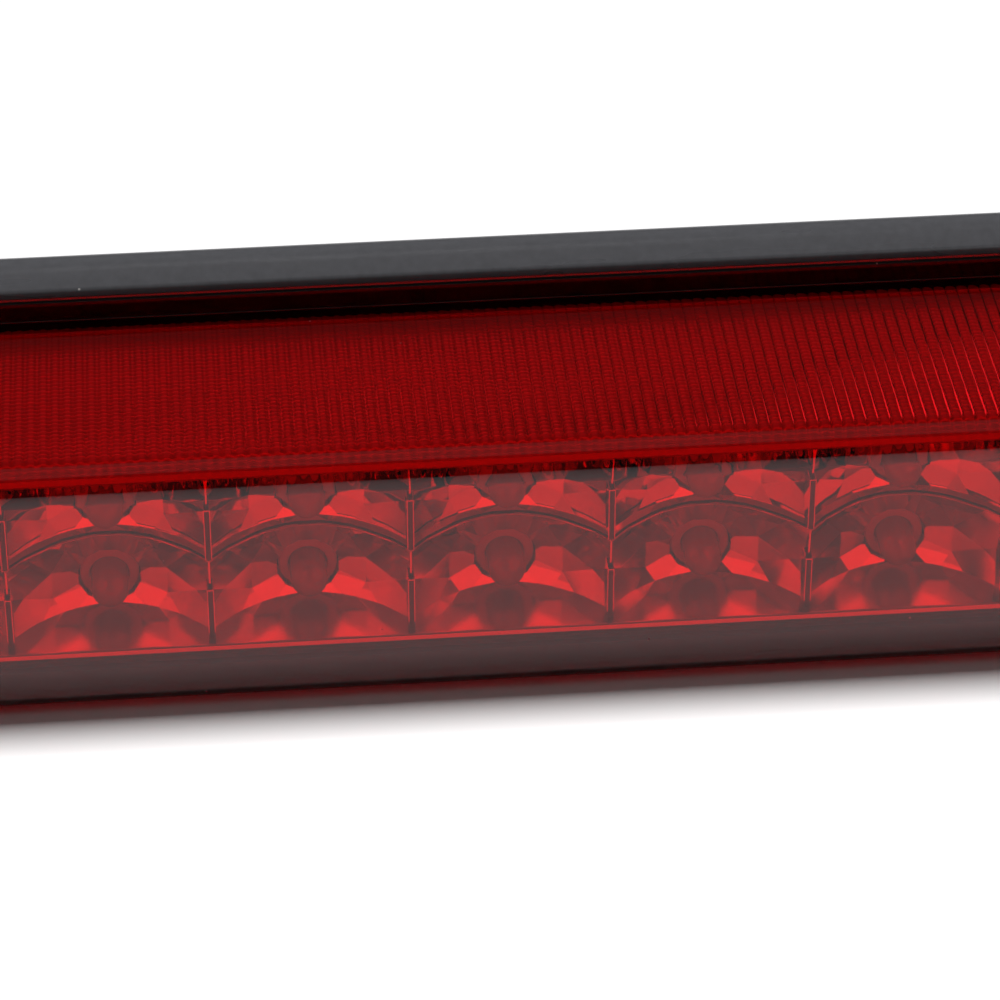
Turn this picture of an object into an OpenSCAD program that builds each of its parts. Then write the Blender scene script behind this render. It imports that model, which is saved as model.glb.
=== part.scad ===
// Third brake light: a long two-row LED lamp with a red lens over a metallised bowl reflector.
// X runs along the lamp, -Y faces the driver behind, +Y is the vehicle side, Z is up.
// The origin is at the middle of the underside.

/* [Optic cells] */
// Number of LED columns along the lamp
columns = 14; // [4:1:14]
// Number of LED rows, one above the other
rows = 2; // [1:1:2]
// Width of one reflector cell
pitch_x = 26.8; // [22:0.1:34]
// Height of one reflector cell
pitch_z = 12.8; // [10.6:0.1:16]
// Focal length of the parabolic bowls
bowl_focus = 6.4; // [5:0.1:7.5]
// Radius of the hole at the bottom of each bowl
seat_r = 4.2; // [3.9:0.1:4.4]
// Height of an LED's axis above the floor of its row
led_rise = 4.4; // [4.4:0.1:6.4]
// Distance from the lens's outer face to the bottoms of the bowls
bowl_apex_y = 15.7; // [14.6:0.1:20]

/* [Reflector] */
// Height of the reflector's shelf above the ground
shelf_z = 8; // [7.2:0.1:14]
// Thickness of the reflector's shelf, roof and end walls
skin_t = 1.2; // [1:0.1:1.6]
// Wall left between the bowls and the pockets behind them
bowl_wall = 2.2; // [1.8:0.1:3]
// Distance from the bowls' bottoms to the reflector's flat back
reflector_back = 1.5; // [1.2:0.1:3]
// Pitch of the fine ribs across the reflector's roof
roof_rib_pitch = 0.9; // [0.8:0.1:2]
// Height of the fine ribs on the reflector's roof
roof_rib_h = 0.2; // [0.1:0.05:0.25]

/* [Lens] */
// Wall of the lens
lens_t = 2.5; // [2:0.1:3]
// Outer radius of the bend between the front and the top of the lens
bend_r = 4.3; // [3.2:0.1:6]
// Outer radius along the lens's lower edge
skirt_r = 2; // [1:0.1:2.4]
// Gap under the lens's lower edge
skirt_gap = 0.8; // [0.5:0.1:1.5]
// Distance from the lens's front to its upturned rear flange
lens_top_d = 38.4; // [34:0.1:46]
// Height of the rear flange above the lens's top
flange_h = 2.8; // [2:0.1:4]
// Thickness of the rear flange
flange_t = 1.5; // [1.2:0.1:2]
// Pitch of the flutes under the lens's top
flute_pitch = 1.6; // [1.4:0.1:3]
// Depth of the flutes under the lens's top
flute_h = 0.45; // [0.2:0.05:0.5]

/* [Housing] */
// Depth of the lamp from the lens's front to the vehicle side
body_d = 54; // [53.4:0.1:66]
// Wall of the housing
wall = 2.5; // [2:0.1:3]
// Thickness of the housing's floor
floor_t = 3; // [2.6:0.1:4]
// Thickness of the lip inside the lens's skirt
lip_t = 2; // [1.5:0.1:2.5]
// Rise of the brow's crown above the lens's rear flange
crown_rise = 3.4; // [2:0.1:6]
// Distance from the brow's front to its crown
crown_d = 4.4; // [3.6:0.1:6]
// Radius of the brow's crown
crown_r = 4; // [2:0.5:5]
// Slope of the brow behind its crown, in degrees
back_slope = 35; // [30:1:40]

/* [Mounting ears] */
// Distance from the lamp's end to a mounting hole
ear_reach = 11; // [10:0.5:20]
// Outer radius of a mounting ear
ear_r = 11; // [9:0.5:12]
// Thickness of a mounting ear
ear_t = 8; // [6:0.5:10]
// Radius of the hole through a mounting sleeve
mount_hole_r = 2.75; // [2.25:0.05:3.25]
// Wall of a mounting sleeve
sleeve_t = 1.25; // [1:0.05:1.75]
// Height of the mounting holes above the ground
ear_z = 19; // [15:0.5:24]

/* [LEDs] */
// Radius of an LED's dome
led_r = 2.5; // [1.5:0.1:2.6]
// Length of an LED from its base to the centre of its dome
led_body = 5.7; // [5:0.1:7]
// How far an LED's flange stands out beyond its body
led_rim = 0.4; // [0.3:0.05:0.5]
// Thickness of an LED's flange
led_rim_t = 1; // [0.8:0.1:1.2]
// Spacing of an LED's two leads
lead_pitch = 2.54; // [2:0.02:2.54]
// Radius of an LED's lead
lead_r = 0.25; // [0.2:0.01:0.3]
// Height of the spacer under each LED
spacer_h = 2.6; // [2.4:0.1:4]
// Depth of the seat in each spacer
spacer_seat = 2.1; // [1:0.1:2.1]

/* [Circuit board] */
// Thickness of the circuit board
board_t = 1.6; // [1:0.1:2]
// Gap between the reflector's back and the circuit board
board_gap = 0.9; // [0.4:0.1:1]
// Margin between the circuit board's edge and the reflector's edge
board_margin = 1.5; // [1:0.1:2]

/* [Screws] */
// Shank radius of the screws that hold the board and the reflector
screw_r = 1.4; // [1.2:0.05:1.6]
// Head radius of those screws
screw_head_r = 2.8; // [2.4:0.1:3]
// Head height of those screws
screw_head_h = 1.6; // [1.2:0.1:1.8]
// Wall of the bosses that the screws go into
boss_t = 1.6; // [1.2:0.1:2]

/* [Seals and connector] */
// Thickness of the seal between the lens and the housing
seal_t = 1.2; // [0.8:0.1:1.6]
// Height of the seal along the lens's skirt
seal_h = 3; // [2:0.1:3.4]
// Length of the gasket loop on the vehicle side
gasket_l = 110; // [90:1:130]
// Height of the gasket loop
gasket_w = 32; // [30:0.5:34]
// Width of the gasket strip
gasket_strip = 4; // [3:0.1:5]
// Depth of the gasket's groove
gasket_t = 1.2; // [0.8:0.1:1.4]
// Inner width of the connector socket
socket_w = 17; // [15:0.5:20]
// Inner height of the connector socket
socket_h = 10; // [8:0.5:12]
// Depth of the connector socket
socket_depth = 14; // [12:0.5:15]
// Wall of the connector socket
socket_wall = 1.5; // [1.2:0.1:2]
// Sideways place of the connector socket
socket_x = -22; // [-24:1:-20]
// Sideways place of the breather
vent_x = 28; // [24:1:34]
// Radius of the breather's hole
vent_r = 4; // [3:0.1:5]
// Radius of an inner wire with its insulation
wire_r = 0.8; // [0.6:0.05:0.9]

/* [Clearances] */
// Gap around a spacer, a sleeve or a cover in its hole
fit_gap = 0.2; // [0.1:0.05:0.3]
// Gap around a pin, a lead, a wire or a screw shank
pin_gap = 0.1; // [0.05:0.05:0.15]
// Gap at the ends of the reflector inside the lens
end_gap = 0.5; // [0.3:0.1:1]

/* [Hidden] */
$fn = 48;
// Overlap that joins two shapes into one
eps = 0.01;
// Gap between the reflector's front edge and the lens
shelf_gap = 1.3;
// Gap between the ribs on the roof and the flutes above them
rib_gap = 0.15;
// Height of the brow's front edge above the lens's rear flange
brow_step = 0.3;
// How far the reflector's roof reaches under the rear flange
roof_reach = 0.6;
// Plastic left above the reflector's screws
screw_cover = 0.6;
// Thickness and depth of the ledge that carries the roof
ledge_t = 1.2;
ledge_d = 2;

// Heights, from the ground up
roof_z = shelf_z + rows * pitch_z;
roof_top = roof_z + skin_t;
lens_in_z = roof_top + roof_rib_h + rib_gap + flute_h;
lens_top_z = lens_in_z + lens_t;
flange_z = lens_top_z + flange_h;
lip_z = shelf_z - skin_t - fit_gap;
crown_z = flange_z + crown_rise;
brow_front_z = flange_z + brow_step;
mid_z = shelf_z + rows * pitch_z / 2;

// Places along Y, from the lens's front back to the vehicle side
lens_back_y = lens_top_d + flange_t;
brow_y = lens_back_y + seal_t;
lip_y = lens_t + seal_t;
rim_r = norm([pitch_x / 2, max(led_rise, pitch_z - led_rise)]);
rim_y = bowl_apex_y - rim_r * rim_r / (4 * bowl_focus);
front_y = max(rim_y, lens_t + end_gap);
reflector_y = bowl_apex_y + reflector_back;
board_y = reflector_y + board_gap;
board_back_y = board_y + board_t;
led_base_y = board_y - spacer_h + spacer_seat;
led_dome_y = led_base_y - led_body;
back_in_y = body_d - wall;
roof_back_y = lens_top_d + roof_reach;
shelf_front_y = lens_t + shelf_gap;
crown_y = brow_y + crown_d;
back_top_z = crown_z - (body_d - crown_y) * tan(back_slope);

// Half lengths along X
cells_x = columns * pitch_x / 2;
reflector_x = cells_x + skin_t;
lens_in_x = reflector_x + end_gap;
lens_x = lens_in_x + lens_t;
lip_x = lens_in_x - seal_t;
hole_x = lens_x + ear_reach;
board_x = reflector_x - board_margin;

// Circuit board heights
board_low = shelf_z + board_margin;
board_high = roof_z - board_margin;

// Screws: the board's screws and the reflector's screws stand at alternate cell walls
boss_r = screw_r + boss_t;
board_screw_cells = [for (k = [2:2:columns - 2]) k];
reflector_screw_cells = [for (k = [1:4:columns - 1]) k];
screw_well = screw_head_h + fit_gap;
reflector_screw_y = (front_y + reflector_y) / 2;
reflector_screw_top = shelf_z - screw_cover;
board_boss_y = bowl_apex_y - bowl_focus;
board_screw_l = board_t + 4;

// Connector socket
socket_z = 19;
socket_out_w = socket_w + 2 * socket_wall;
socket_out_h = socket_h + 2 * socket_wall;
socket_floor = 4;
socket_front_y = body_d - socket_depth - socket_floor;
socket_seal_t = 2;
socket_flange_t = 2;
socket_flange_y = back_in_y - socket_seal_t - socket_flange_t;
socket_screw_x = socket_out_w / 2 + 4.5;
socket_screw_r = 1.1;
socket_boss_r = 2.6;
socket_flange_w = 2 * socket_screw_x + 2 * socket_boss_r;
socket_seal_w = 1.6;
blade_w = 2.8;
blade_t = 0.8;
blade_x = 2.9;
blade_tip_y = body_d - 4;
blade_tail = 1.5;
crimp_l = 5;
crimp_y = socket_front_y - blade_tail;
crimp_t = 0.4;
header_d = 7;
header_h = 6;
header_w = 4 * blade_x;
header_edge = 0.6;
header_z = board_low + header_h / 2 + header_edge;

// Extra radius of a wire where it bends
bend_extra = 0.04;

// Breather
vent_cap_t = 1.5;
vent_rim = 1.5;
vent_slot_w = 1.2;
membrane_t = 0.4;

// Small parts on the board
lead_tail = 1.4;
chip_l = 6.3;
chip_w = 3.2;
chip_h = 0.8;
chip_cap = 0.8;
strings = floor(columns / 2);
capacitor_r = 4;
capacitor_h = 9;
capacitor_foot = 1.6;

led_count = columns * rows;
function two(n) = n < 10 ? str("0", n) : str(n);
led_names = [for (n = [1:led_count]) str("led_", two(n))];
resistor_names = [for (n = [1:strings]) str("resistor_", n)];

// X of the middle of a column and of the wall after k columns
function column_x(c) = (c + 0.5) * pitch_x - cells_x;
function wall_x(k) = k * pitch_x - cells_x;
function row_floor(r) = shelf_z + r * pitch_z;
function row_z(r) = row_floor(r) + led_rise;
// Depth of a bowl's surface at distance r from its axis
function bowl_y(r) = bowl_apex_y - r * r / (4 * bowl_focus);

// Points of an arc that rounds the corner b between a and c with radius r
function unit(v) = v / norm(v);
function corner(a, b, c, r, n = 6) =
    let (u = unit(a - b), w = unit(c - b),
         half = acos(u * w) / 2,
         m = b + unit(u + w) * r / sin(half),
         p = b + u * r / tan(half),
         q = b + w * r / tan(half),
         s = atan2(p[1] - m[1], p[0] - m[0]),
         e0 = atan2(q[1] - m[1], q[0] - m[0]) - s,
         e = e0 > 180 ? e0 - 360 : e0 < -180 ? e0 + 360 : e0)
    [for (i = [0:n]) m + r * [cos(s + e * i / n), sin(s + e * i / n)]];

// Outline whose points are [y, z, corner radius], rounded where the radius is above 0
function rounded(pts) =
    let (n = len(pts), xy = [for (p = pts) [p[0], p[1]]])
    [for (i = [0:n - 1])
        each pts[i][2] > 0
            ? corner(xy[(i + n - 1) % n], xy[i], xy[(i + 1) % n], pts[i][2])
            : [xy[i]]];

// Extrudes a Y-Z outline along X, to both sides of the middle
module along_x(half) {
    translate([-half, 0, 0])
        rotate([90, 0, 90])
            linear_extrude(2 * half) children();
}

// Box centred in X, from one Y and Z to another
module bar(half, y0, y1, z0, z1) {
    translate([-half, y0, z0]) cube([2 * half, y1 - y0, z1 - z0]);
}

// Cylinder whose axis is along Y
module rod_y(r, y0, y1) {
    translate([0, y0, 0]) rotate([-90, 0, 0]) cylinder(r = r, h = y1 - y0);
}

// Rounded rectangle in X and Z, extruded along Y
module slab_y(w, h, r, y0, y1) {
    translate([0, y1, 0])
        rotate([90, 0, 0])
            linear_extrude(y1 - y0)
                polygon(rounded([[-w / 2, -h / 2, r], [w / 2, -h / 2, r],
                                 [w / 2, h / 2, r], [-w / 2, h / 2, r]]));
}

// Every LED's place
module at_leds() {
    for (r = [0:rows - 1])
        for (c = [0:columns - 1])
            translate([column_x(c), 0, row_z(r)]) children();
}

// ---- Housing ----

// Outline of the rear shell: brow, sloping top and vehicle side
module rear_outline() {
    polygon(rounded([[brow_y, 0, 0], [brow_y, brow_front_z, 0.8], [crown_y, crown_z, crown_r],
                     [body_d, back_top_z, 2], [body_d, 0, 1]]));
}

module rear_cavity() {
    inner_y = brow_y + wall;
    polygon([[inner_y, floor_t], [inner_y, brow_front_z - wall / 2],
             [crown_y, crown_z - 1.4 * wall],
             [back_in_y, back_top_z - 1.1 * wall], [back_in_y, floor_t]]);
}

module ear(side) {
    translate([side * lens_x, 0, ear_z]) {
        translate([side > 0 ? -eps : -ear_reach, body_d - ear_t, -ear_r])
            cube([ear_reach + eps, ear_t, 2 * ear_r]);
        translate([side * ear_reach, 0, 0]) rod_y(ear_r, body_d - ear_t, body_d);
    }
}

module housing() {
    color([0.03, 0.03, 0.035]) difference() {
        union() {
            // rear shell with closed ends
            along_x(lens_x) rear_outline();
            // floor and the lips that stand inside the lens's skirt
            bar(lip_x, lip_y, brow_y + eps, 0, floor_t);
            bar(lip_x, lip_y, lip_y + lip_t, floor_t - eps, lip_z);
            for (side = [-1, 1])
                translate([side * (lip_x - lip_t / 2), 0, 0])
                    bar(lip_t / 2, lip_y, brow_y + eps, floor_t - eps, lip_z);
            // ledge that carries the back edge of the reflector's roof
            bar(lip_x - fit_gap, roof_back_y - ledge_d, brow_y + eps,
                roof_z - fit_gap - ledge_t, roof_z - fit_gap);
            for (side = [-1, 1]) ear(side);
        }
        along_x(lens_x - wall) rear_cavity();
        // the rear shell is open to the front below the ledge
        bar(lens_x - wall, brow_y - 2 * seal_t, brow_y + wall + eps,
            floor_t, roof_z - fit_gap - ledge_t);
        // wells and holes of the reflector's screws
        for (k = reflector_screw_cells)
            translate([wall_x(k), reflector_screw_y, 0]) {
                translate([0, 0, -eps]) cylinder(r = screw_head_r + fit_gap, h = screw_well + eps);
                cylinder(r = screw_r + fit_gap, h = floor_t + 1);
            }
        // holes of the mounting sleeves
        for (side = [-1, 1])
            translate([side * hole_x, 0, ear_z])
                rod_y(mount_hole_r + sleeve_t, body_d - ear_t - 1, body_d + 1);
        // groove of the gasket
        translate([0, 0, socket_z]) difference() {
            slab_y(gasket_l, gasket_w, 6, body_d - gasket_t, body_d + 1);
            slab_y(gasket_l - 2 * gasket_strip, gasket_w - 2 * gasket_strip, 3,
                   body_d - 2 * gasket_t, body_d + 2);
        }
        // window of the connector socket
        translate([socket_x, 0, socket_z])
            slab_y(socket_out_w + 2 * fit_gap, socket_out_h + 2 * fit_gap, 2, back_in_y - 1, body_d + 1);
        // breather's hole and the seat of its cover
        translate([vent_x, 0, socket_z]) {
            rod_y(vent_r, back_in_y - 1, body_d + 1);
            rod_y(vent_r + vent_rim + fit_gap, body_d - vent_cap_t, body_d + 1);
        }
    }
    color([0.03, 0.03, 0.035]) socket_bosses();
}

// Bosses inside the vehicle side for the socket's screws
module socket_bosses() {
    for (side = [-1, 1])
        translate([socket_x + side * socket_screw_x, 0, socket_z])
            difference() {
                rod_y(socket_boss_r, back_in_y - socket_seal_t, back_in_y + eps);
                rod_y(socket_screw_r + pin_gap, back_in_y - socket_seal_t - 1, back_in_y - 0.2);
            }
}

// ---- Lens ----

// Zigzag strip of flutes that runs along Y under the lens's top
module flutes() {
    n = floor(2 * cells_x / flute_pitch);
    half = n * flute_pitch / 2;
    translate([0, roof_back_y - 1.5, 0])
        rotate([90, 0, 0])
            linear_extrude(roof_back_y - 1.5 - (lens_t + bend_r))
                polygon(concat(
                    [[-half, lens_in_z + eps]],
                    [for (i = [0:n - 1]) each [[-half + i * flute_pitch, lens_in_z - eps],
                                               [-half + (i + 0.5) * flute_pitch, lens_in_z - flute_h]]],
                    [[half, lens_in_z - eps], [half, lens_in_z + eps]]));
}

module outer_lens() {
    color([0.7, 0.02, 0.03, 0.6]) union() {
        difference() {
            along_x(lens_x)
                polygon(rounded([[0, skirt_gap, skirt_r], [0, lens_top_z, bend_r],
                                 [lens_top_d, lens_top_z, 0], [lens_top_d, flange_z, 0.4],
                                 [lens_back_y, flange_z, 0.4], [lens_back_y, skirt_gap, 0]]));
            along_x(lens_in_x)
                polygon(rounded([[lens_t, skirt_gap - 1, 0], [lens_t, lens_in_z, bend_r - lens_t],
                                 [lens_back_y + 1, lens_in_z, 0], [lens_back_y + 1, skirt_gap - 1, 0]]));
        }
        flutes();
    }
}

// ---- Reflector ----

// Solid of revolution in front of one bowl's surface, with three cones in place of the curve
module bowl_space() {
    reach = rim_r + 1;
    steps = [0, 0.3, 0.55, 0.78, 1];
    rotate([90, 0, 0])
        rotate_extrude()
            polygon(concat(
                [[0, -bowl_apex_y]],
                [for (s = steps) if (s > 0) [reach * s, -bowl_y(reach * s)]],
                [[reach, 5], [0, 5]]));
}

// Pocket behind the wall between two columns, as deep as the bowls on both sides allow
module back_pocket() {
    half = pitch_x / 2 - seat_r - 2;
    n = 6;
    translate([0, 0, shelf_z])
        linear_extrude(rows * pitch_z)
            polygon(concat(
                [for (i = [-n:n]) let (x = half * i / n)
                    [x, min(bowl_y(pitch_x / 2 - abs(x)) + bowl_wall, reflector_y - 0.2)]],
                [[half, reflector_y + 1], [-half, reflector_y + 1]]));
}

// Fine ribs along X on the reflector's roof
module roof_ribs() {
    y0 = lens_t + bend_r;
    n = floor((roof_back_y - y0) / roof_rib_pitch);
    along_x(cells_x)
        polygon(concat(
            [[y0, roof_top - 0.2]],
            [for (i = [0:n - 1]) each [[y0 + i * roof_rib_pitch, roof_top],
                                       [y0 + (i + 0.5) * roof_rib_pitch, roof_top + roof_rib_h]]],
            [[y0 + n * roof_rib_pitch, roof_top], [y0 + n * roof_rib_pitch, roof_top - 0.2]]));
}

module reflector() {
    color([0.86, 0.86, 0.88]) {
        difference() {
            union() {
                bar(reflector_x, front_y, reflector_y, shelf_z - skin_t, roof_top);
                // shelf and roof reach past the bowls
                bar(reflector_x, shelf_front_y, front_y + eps, shelf_z - skin_t, shelf_z);
                bar(reflector_x, lens_t + end_gap, roof_back_y, roof_z, roof_top);
                // stiffening webs under the roof, behind the board
                for (k = [1:columns - 1])
                    translate([wall_x(k), 0, 0])
                        bar(skin_t / 2, board_back_y + 3, roof_back_y - 3, roof_z - 2.5, roof_z + eps);
                for (k = reflector_screw_cells)
                    translate([wall_x(k), reflector_screw_y, floor_t + fit_gap])
                        cylinder(r = boss_r, h = shelf_z - floor_t - fit_gap - skin_t / 2);
            }
            // each row's bowls end at its floor and at the next one's
            for (r = [0:rows - 1])
                intersection() {
                    for (c = [0:columns - 1])
                        translate([column_x(c), 0, row_z(r)]) bowl_space();
                    bar(cells_x, -10, reflector_y, row_floor(r), row_floor(r) + pitch_z);
                }
            at_leds() rod_y(seat_r, front_y, reflector_y + 1);
            for (k = [1:columns - 1]) translate([wall_x(k), 0, 0]) back_pocket();
            for (k = reflector_screw_cells)
                translate([wall_x(k), reflector_screw_y, floor_t])
                    cylinder(r = screw_r + pin_gap / 2, h = reflector_screw_top - floor_t);
        }
        // bosses for the board's screws, in the pockets
        for (k = board_screw_cells)
            translate([wall_x(k), 0, mid_z])
                difference() {
                    rod_y(boss_r, board_boss_y, board_y);
                    rod_y(screw_r + pin_gap / 2, board_boss_y + 2, board_y + 1);
                }
    }
}

// ---- Light sources and circuit board ----

module led_board() {
    color([0.1, 0.3, 0.16]) difference() {
        bar(board_x, board_y, board_back_y, board_low, board_high);
        at_leds()
            for (side = [-1, 1])
                translate([side * lead_pitch / 2, 0, 0])
                    rod_y(lead_r + pin_gap, board_y - 1, board_back_y + 1);
        for (k = board_screw_cells)
            translate([wall_x(k), 0, mid_z]) rod_y(screw_r + fit_gap, board_y - 1, board_back_y + 1);
    }
}

module led_spacers() {
    color([0.35, 0.35, 0.36]) at_leds() difference() {
        rod_y(seat_r - fit_gap, board_y - spacer_h, board_y);
        rod_y(led_r + led_rim + pin_gap, board_y - spacer_h - 1, led_base_y);
        for (side = [-1, 1])
            translate([side * lead_pitch / 2, 0, 0])
                rod_y(lead_r + pin_gap, led_base_y - 1, board_y + 1);
    }
}

module led(n) {
    c = n % columns;
    r = floor(n / columns);
    translate([column_x(c), 0, row_z(r)]) {
        color([0.85, 0.2, 0.2, 0.8]) {
            rod_y(led_r, led_dome_y, led_base_y);
            translate([0, led_dome_y, 0]) sphere(r = led_r);
            rod_y(led_r + led_rim, led_base_y - led_rim_t, led_base_y);
        }
        color([0.75, 0.75, 0.77])
            for (side = [-1, 1])
                translate([side * lead_pitch / 2, 0, 0])
                    rod_y(lead_r, led_base_y - eps, board_back_y + lead_tail);
    }
}

module resistor(n) {
    translate([wall_x(2 * n + 1), board_back_y, mid_z]) {
        color([0.08, 0.08, 0.08])
            bar(chip_l / 2 - chip_cap, 0, chip_h, -chip_w / 2, chip_w / 2);
        color([0.8, 0.8, 0.8])
            for (side = [-1, 1])
                translate([side * (chip_l - chip_cap) / 2, 0, 0])
                    bar(chip_cap / 2 + eps, 0, chip_h + 0.05, -chip_w / 2, chip_w / 2);
    }
}

// The diode and the capacitor stand in the cells beside the header
module protection_diode() {
    translate([column_x(floor(columns / 2)), board_back_y, mid_z]) {
        color([0.07, 0.07, 0.07]) bar(3.4, 0.3, 2.4, -2.3, 2.3);
        color([0.8, 0.8, 0.8])
            for (side = [-1, 1])
                translate([side * 3.6, 0, 0]) bar(0.7, 0, 1, -1.2, 1.2);
    }
}

module capacitor() {
    translate([column_x(1), 0, mid_z]) {
        color([0.08, 0.08, 0.1])
            rod_y(capacitor_r, board_back_y + capacitor_foot, board_back_y + capacitor_foot + capacitor_h);
        color([0.1, 0.1, 0.1])
            bar(2.5, board_back_y, board_back_y + capacitor_foot + eps, -1, 1);
    }
}

module board_header() {
    color([0.92, 0.9, 0.84])
        translate([socket_x, 0, header_z]) difference() {
            bar(header_w / 2, board_back_y, board_back_y + header_d, -header_h / 2, header_h / 2);
            for (side = [-1, 1])
                translate([side * blade_x, 0, 0])
                    rod_y(wire_r + pin_gap, board_back_y + 1, board_back_y + header_d + 1);
        }
}

// ---- Screws ----

// Pan-head screw along +Z with a cross slot, its head's underside at the origin
module screw(r, head_r, head_h, length) {
    difference() {
        union() {
            translate([0, 0, -head_h]) cylinder(r = head_r, h = head_h);
            cylinder(r = r, h = length);
        }
        for (a = [0, 90])
            rotate([0, 0, a])
                translate([-head_r * 0.6, -0.35, -head_h - eps]) cube([head_r * 1.2, 0.7, head_h * 0.5]);
    }
}

module board_screws() {
    color([0.7, 0.7, 0.72])
        for (k = board_screw_cells)
            translate([wall_x(k), board_back_y, mid_z])
                rotate([90, 0, 0]) screw(screw_r, screw_head_r, screw_head_h, board_screw_l);
}

module reflector_screws() {
    color([0.7, 0.7, 0.72])
        for (k = reflector_screw_cells)
            translate([wall_x(k), reflector_screw_y, screw_well])
                screw(screw_r, screw_head_r, screw_head_h, reflector_screw_top - screw_well - 0.3);
}

module socket_screws() {
    color([0.7, 0.7, 0.72])
        for (side = [-1, 1])
            translate([socket_x + side * socket_screw_x, socket_flange_y, socket_z])
                rotate([-90, 0, 0])
                    screw(socket_screw_r, 2.1, 1.4, back_in_y - 0.4 - socket_flange_y);
}

// ---- Seals ----

// Loop between the lens and the housing: round the skirt, up the ends and along the brow
module lens_seal() {
    skirt_z = floor_t;
    end_x = lens_in_x + lens_t / 2;
    color([0.12, 0.12, 0.12]) {
        bar(lens_in_x, lens_t, lip_y, skirt_z, skirt_z + seal_h);
        for (side = [-1, 1]) {
            translate([side * (lens_in_x - seal_t / 2), 0, 0])
                bar(seal_t / 2, lens_t, brow_y, skirt_z, skirt_z + seal_h);
            translate([side * (end_x - seal_t / 2), 0, 0])
                bar((lens_t + seal_t) / 2 - fit_gap, lens_back_y, brow_y, skirt_z, flange_z - 1);
        }
        bar(lens_x - fit_gap, lens_back_y, brow_y, lens_in_z, flange_z - 1);
    }
}

module back_gasket() {
    color([0.15, 0.15, 0.15]) translate([0, 0, socket_z]) difference() {
        slab_y(gasket_l - 2 * pin_gap, gasket_w - 2 * pin_gap, 6 - pin_gap, body_d - gasket_t, body_d);
        slab_y(gasket_l - 2 * gasket_strip + 2 * pin_gap, gasket_w - 2 * gasket_strip + 2 * pin_gap,
               3 + pin_gap, body_d - gasket_t - 1, body_d + 1);
    }
}

module mount_sleeve(side) {
    color([0.75, 0.75, 0.78]) translate([side * hole_x, 0, ear_z]) difference() {
        rod_y(mount_hole_r + sleeve_t, body_d - ear_t, body_d);
        rod_y(mount_hole_r, body_d - ear_t - 1, body_d + 1);
    }
}

// ---- Connector ----

module connector_socket() {
    color([0.16, 0.16, 0.17]) translate([socket_x, 0, socket_z]) difference() {
        union() {
            slab_y(socket_out_w, socket_out_h, 2 - fit_gap, socket_front_y, body_d);
            slab_y(socket_flange_w, socket_out_h + 4, 2, socket_flange_y, socket_flange_y + socket_flange_t);
        }
        slab_y(socket_w, socket_h, 1, body_d - socket_depth, body_d + 1);
        for (side = [-1, 1]) {
            translate([side * socket_screw_x, 0, 0])
                rod_y(socket_screw_r + fit_gap, socket_flange_y - 1, socket_flange_y + socket_flange_t + 1);
            translate([side * blade_x, 0, 0])
                bar(blade_w / 2 + pin_gap, socket_front_y - 1, body_d - socket_depth + 1,
                    -blade_t / 2 - pin_gap, blade_t / 2 + pin_gap);
        }
    }
}

module socket_seal() {
    color([0.55, 0.2, 0.12]) translate([socket_x, 0, socket_z]) difference() {
        slab_y(socket_out_w + 2 * fit_gap + 2 * socket_seal_w, socket_out_h + 2 * fit_gap + 2 * socket_seal_w,
               2, back_in_y - socket_seal_t, back_in_y);
        slab_y(socket_out_w + 2 * fit_gap, socket_out_h + 2 * fit_gap, 1.8,
               back_in_y - socket_seal_t - 1, back_in_y + 1);
    }
}

// Blade with a hollow crimp barrel at the wire's end
module socket_pin(side) {
    color([0.8, 0.68, 0.35]) translate([socket_x + side * blade_x, 0, socket_z]) {
        bar(blade_w / 2, socket_front_y - blade_tail, blade_tip_y, -blade_t / 2, blade_t / 2);
        difference() {
            rod_y(wire_r + pin_gap + crimp_t, crimp_y - crimp_l, crimp_y + eps);
            rod_y(wire_r + pin_gap, crimp_y - crimp_l - 1, crimp_y - 0.5);
        }
    }
}

// Round bar between two points, with a slightly thicker ball at its second end, where it bends
module wire_run(a, b) {
    d = b - a;
    translate(a)
        rotate([0, acos(d[2] / norm(d)), atan2(d[1], d[0])])
            cylinder(r = wire_r, h = norm(d));
    translate(b) sphere(r = wire_r + bend_extra);
}

// Lead from the board's header to its blade in the socket
module wire(side) {
    start_y = board_back_y + 1.5;
    end_y = crimp_y - 1;
    turn_a = [socket_x + side * blade_x, board_back_y + header_d + 2, header_z];
    turn_b = [socket_x + side * blade_x, end_y - crimp_l - 0.5, socket_z];
    wire_run([turn_a[0], start_y, header_z], turn_a);
    wire_run(turn_a, turn_b);
    translate([turn_b[0], 0, socket_z]) rod_y(wire_r, turn_b[1], end_y);
}

module wire_feed() { color([0.75, 0.1, 0.1]) wire(-1); }
module wire_ground() { color([0.1, 0.1, 0.1]) wire(1); }

// ---- Breather ----

module vent_cap() {
    color([0.1, 0.1, 0.1]) translate([vent_x, 0, socket_z]) difference() {
        union() {
            rod_y(vent_r + vent_rim, body_d - vent_cap_t, body_d);
            difference() {
                rod_y(vent_r - fit_gap, back_in_y - 1.5, body_d - vent_cap_t + eps);
                rod_y(vent_r - fit_gap - 1, back_in_y - 2, body_d - vent_cap_t);
            }
        }
        for (i = [-1:1])
            translate([i * 2.4, 0, 0])
                bar(vent_slot_w / 2, body_d - vent_cap_t - 1, body_d + 1, -vent_r / 2, vent_r / 2);
    }
}

module vent_membrane() {
    color([0.95, 0.95, 0.95]) translate([vent_x, 0, socket_z])
        rod_y(vent_r - fit_gap - 1 - pin_gap, body_d - vent_cap_t - membrane_t - 0.1,
              body_d - vent_cap_t - 0.1);
}

// ---- Assembly ----

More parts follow.
